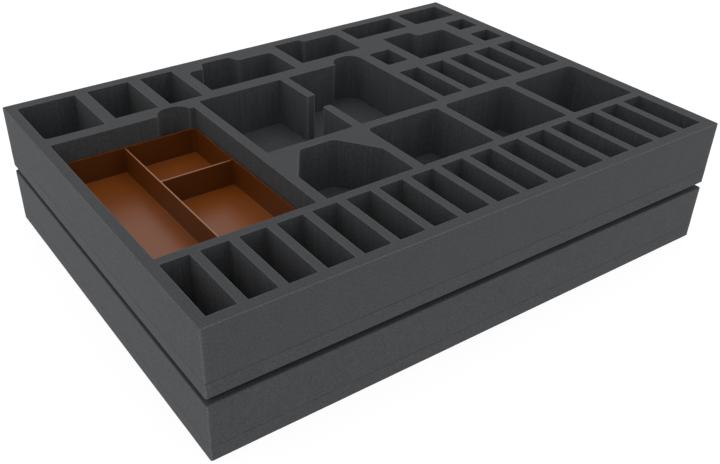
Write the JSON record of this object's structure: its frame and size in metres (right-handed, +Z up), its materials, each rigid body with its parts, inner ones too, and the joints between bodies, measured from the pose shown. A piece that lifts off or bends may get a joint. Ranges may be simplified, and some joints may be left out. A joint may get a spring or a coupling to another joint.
{
  "type": "board game box insert",
  "caption": "Two stacked foam trays with cut-out pockets for game pieces, and a divided plastic organizer standing in the upper tray's card pocket.",
  "frame": {"origin": "middle of the lower tray's underside, on the surface that the stack stands on", "axes": "+X along the longer sides towards the end with the five upright slots, +Y from the row of sixteen slots to the back, +Z up"},
  "size_m": [0.39, 0.29, 0.0894],
  "materials": {
    "foam": "matte",
    "bond_film": "matte",
    "organizer_plastic": "satin"
  },
  "bodies": {
    "lower_tray": {"lower_base_foam": "foam", "lower_bond_film": "bond_film", "lower_cut_foam": "foam"},
    "upper_tray": {"upper_base_foam": "foam", "upper_bond_film": "bond_film", "upper_cut_foam": "foam"},
    "organizer": {"organizer": "organizer_plastic"}
  },
  "joints": [
    {"name": "upper_tray_lift", "type": "slide", "parent": "lower_tray", "child": "upper_tray", "axis": [0, 0, 1], "range_m": [-0.0044, 0.1]},
    {"name": "organizer_lift", "type": "slide", "parent": "upper_tray", "child": "organizer", "axis": [0, 0, 1], "range_m": [0, 0.06]}
  ]
}
